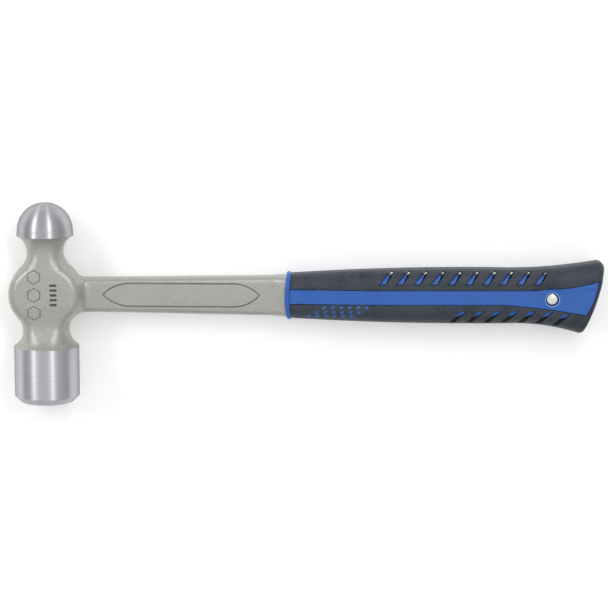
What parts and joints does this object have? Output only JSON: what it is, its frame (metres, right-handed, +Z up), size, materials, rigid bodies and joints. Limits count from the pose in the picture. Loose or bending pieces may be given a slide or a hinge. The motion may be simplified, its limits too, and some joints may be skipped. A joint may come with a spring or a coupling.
{
  "type": "ball peen hammer",
  "caption": "Ball peen hammer forged in one piece with its steel shank, with a moulded two-colour vented grip held on the tang by a cross pin, for striking and peening metal.",
  "frame": {"origin": "bottom centre of the bounding box, with the hammer lying on its side on a bench", "axes": "+X along the handle from the head to the butt, +Y from the poll to the ball, +Z up across the thickness"},
  "size_m": [0.3341, 0.1134, 0.0367],
  "materials": {
    "painted_forging": "warm grey satin paint with fine sparkle; ball and poll machined bright",
    "blue_polymer": "satin moulded polymer",
    "charcoal_rubber": "matte fine grain",
    "polished_pin": "polished"
  },
  "bodies": {
    "root": {"forged_head_and_shank": "painted_forging", "grip_core": "blue_polymer", "grip_overmould": "charcoal_rubber", "grip_pin": "polished_pin"}
  },
  "joints": []
}
